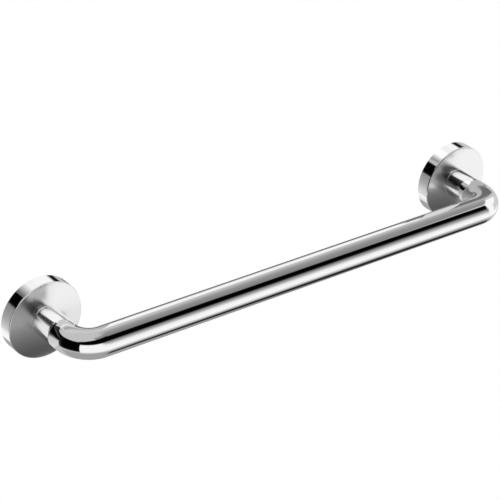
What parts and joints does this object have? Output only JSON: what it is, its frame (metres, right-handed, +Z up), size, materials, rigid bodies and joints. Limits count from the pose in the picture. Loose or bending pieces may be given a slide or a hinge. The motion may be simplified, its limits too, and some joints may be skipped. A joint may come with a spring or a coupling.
{
  "type": "grab bar",
  "caption": "Straight chrome grab bar: a round tube bent back at both ends onto round rosettes that cover wall plates, to hold on to in a shower or bath.",
  "frame": {"origin": "on the wall plane, midway between the two rosettes, which is the middle of the four wall screw slots", "axes": "+X along the bar to the right as seen from the room, +Y into the wall, +Z up"},
  "size_m": [0.4, 0.06, 0.054],
  "materials": {
    "polished_chrome": "mirror polished",
    "brass": "machined",
    "zinc_plated_steel": "zinc plated",
    "plate_steel": "turned and tumbled",
    "stainless_steel": "satin"
  },
  "bodies": {
    "root": {"bar_tube": "polished_chrome", "rosette_left": "polished_chrome", "rosette_right": "polished_chrome", "end_plug_left": "brass", "end_plug_right": "brass", "leg_screws": "zinc_plated_steel", "wall_plate_left": "plate_steel", "wall_plate_right": "plate_steel", "grub_screws": "stainless_steel"}
  },
  "joints": []
}
